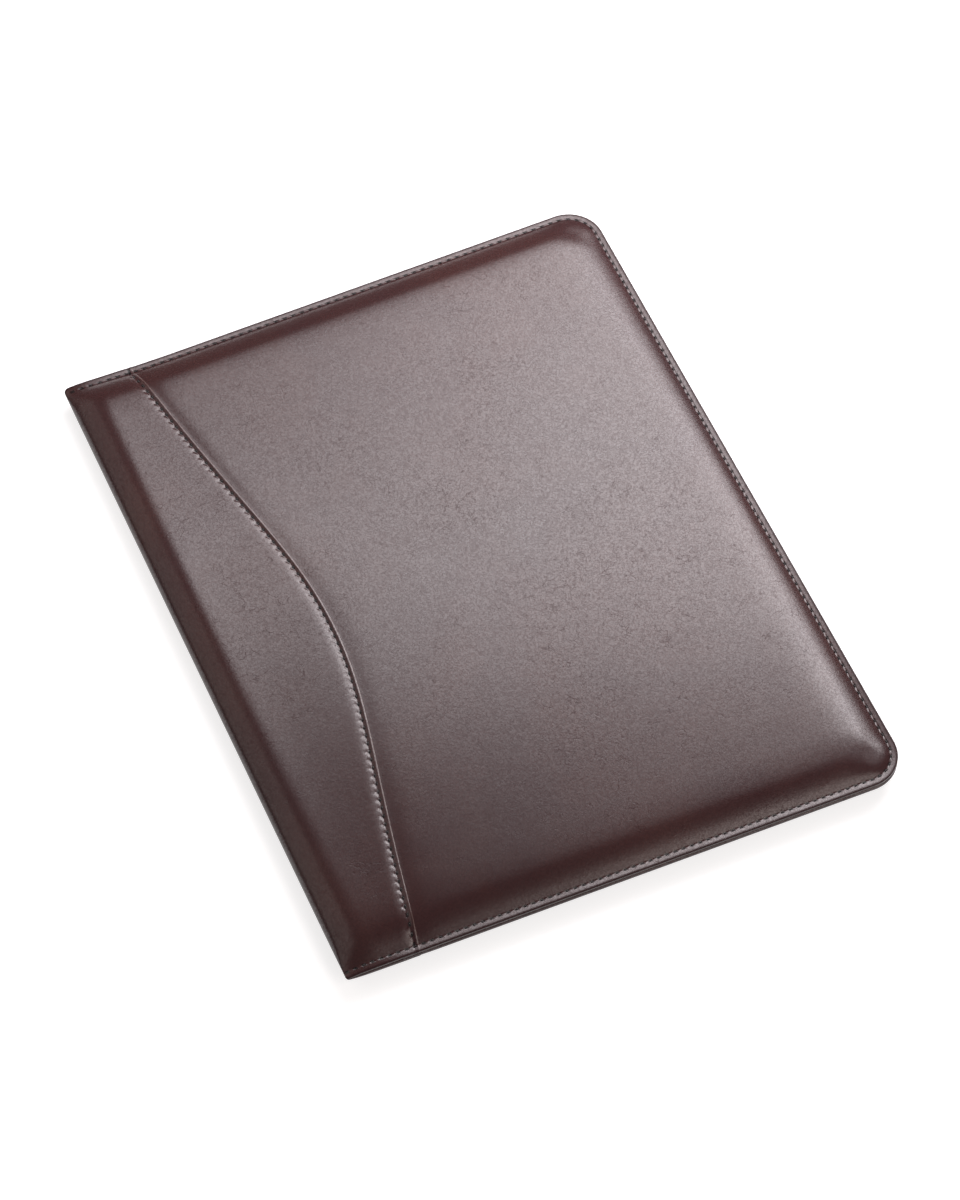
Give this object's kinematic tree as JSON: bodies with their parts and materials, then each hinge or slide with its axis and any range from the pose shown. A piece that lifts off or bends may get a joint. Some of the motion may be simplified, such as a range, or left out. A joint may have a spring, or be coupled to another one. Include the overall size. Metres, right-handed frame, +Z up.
{
  "type": "writing portfolio",
  "caption": "Closed padded leather writing portfolio with a stitched rim, a spine overlay with a curved edge, a writing pad, pen loop and pockets inside.",
  "frame": {"origin": "on the surface that the closed portfolio lies on, under the middle of its outline", "axes": "+X from the spine to the fore-edge, +Y up the page to the head, +Z up out of the front cover"},
  "size_m": [0.2476, 0.3174, 0.0171],
  "materials": {
    "cover_leather": "smooth dark burgundy-brown leather with a fine grain, low sheen, thread sewn along the rim",
    "pocket_leather": "thin smooth dark leather",
    "lining": "dark woven lining cloth",
    "padding": "thin sheet foam, matte",
    "board": "grey-brown chipboard, matte",
    "elastic": "dark woven elastic",
    "paper": "uncoated writing paper, cream white, ruled",
    "binding_tape": "dark red binding tape"
  },
  "bodies": {
    "rear_cover": {"rear_panel_leather": "cover_leather", "rear_overlay_leather": "cover_leather", "rear_foam": "padding", "rear_board": "board", "rear_edge_facing": "pocket_leather", "rear_lining": "lining", "pad_holder": "pocket_leather", "pen_loop": "elastic"},
    "spine": {"spine_leather": "cover_leather", "spine_stiffener": "board", "spine_lining": "lining"},
    "front_cover": {"front_panel_leather": "cover_leather", "front_overlay_leather": "cover_leather", "front_foam": "padding", "front_board": "board", "front_edge_facing": "pocket_leather", "front_lining": "lining", "front_gutter_lining": "lining", "document_pocket": "pocket_leather", "card_pocket_left": "pocket_leather", "card_pocket_right": "pocket_leather"},
    "writing_pad": {"pad_backing": "board", "pad_sheets": "paper", "pad_binding": "binding_tape"}
  },
  "joints": [
    {"name": "spine_fold", "type": "hinge", "parent": "rear_cover", "child": "spine", "pos_m": [-0.11883, 0, 0.005], "axis": [0, -1, 0], "range_deg": [0, 90], "deforming": ["spine_lining"]},
    {"name": "cover_fold", "type": "hinge", "parent": "spine", "child": "front_cover", "pos_m": [-0.11883, 0, 0.0121], "axis": [0, -1, 0], "range_deg": [0, 90], "deforming": ["spine_leather"]},
    {"name": "pad_slide", "type": "slide", "parent": "rear_cover", "child": "writing_pad", "axis": [0, 1, 0], "range_m": [0, 0.006]}
  ],
  "couplings": [
    {"joint": "cover_fold", "follows": "spine_fold", "ratio": 1}
  ]
}
